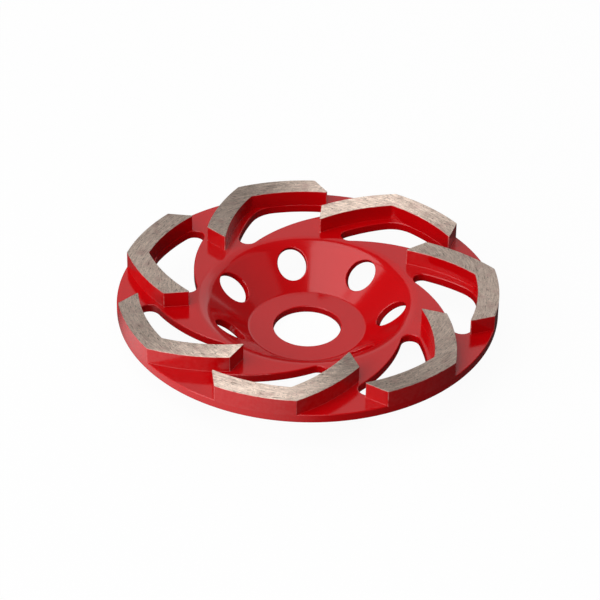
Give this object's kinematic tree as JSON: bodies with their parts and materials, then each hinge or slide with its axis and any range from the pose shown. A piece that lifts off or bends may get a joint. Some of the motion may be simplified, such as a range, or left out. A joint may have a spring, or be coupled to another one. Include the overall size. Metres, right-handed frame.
{
  "type": "diamond cup grinding wheel",
  "caption": "Diamond cup grinding wheel: a red pressed steel cup with a centre bore, oval dust holes, rim slots and chevron abrasive segments.",
  "frame": {"origin": "centre of the hub's back face, on the spindle axis, which is the centre of the bottom of the box", "axes": "+Z along the spindle axis, from the hub's back face towards the grinding side; +X points to the right and +Y away in the reference view"},
  "size_m": [0.125, 0.125, 0.0191],
  "materials": {
    "red_lacquer": "glossy red lacquer on pressed steel",
    "segment_metal": "sintered diamond metal, ground bare on top and lacquered red on its sides"
  },
  "bodies": {
    "root": {"cup_body": "red_lacquer", "segment_1": "segment_metal", "segment_2": "segment_metal", "segment_3": "segment_metal", "segment_4": "segment_metal", "segment_5": "segment_metal", "segment_6": "segment_metal", "segment_7": "segment_metal"}
  },
  "joints": []
}
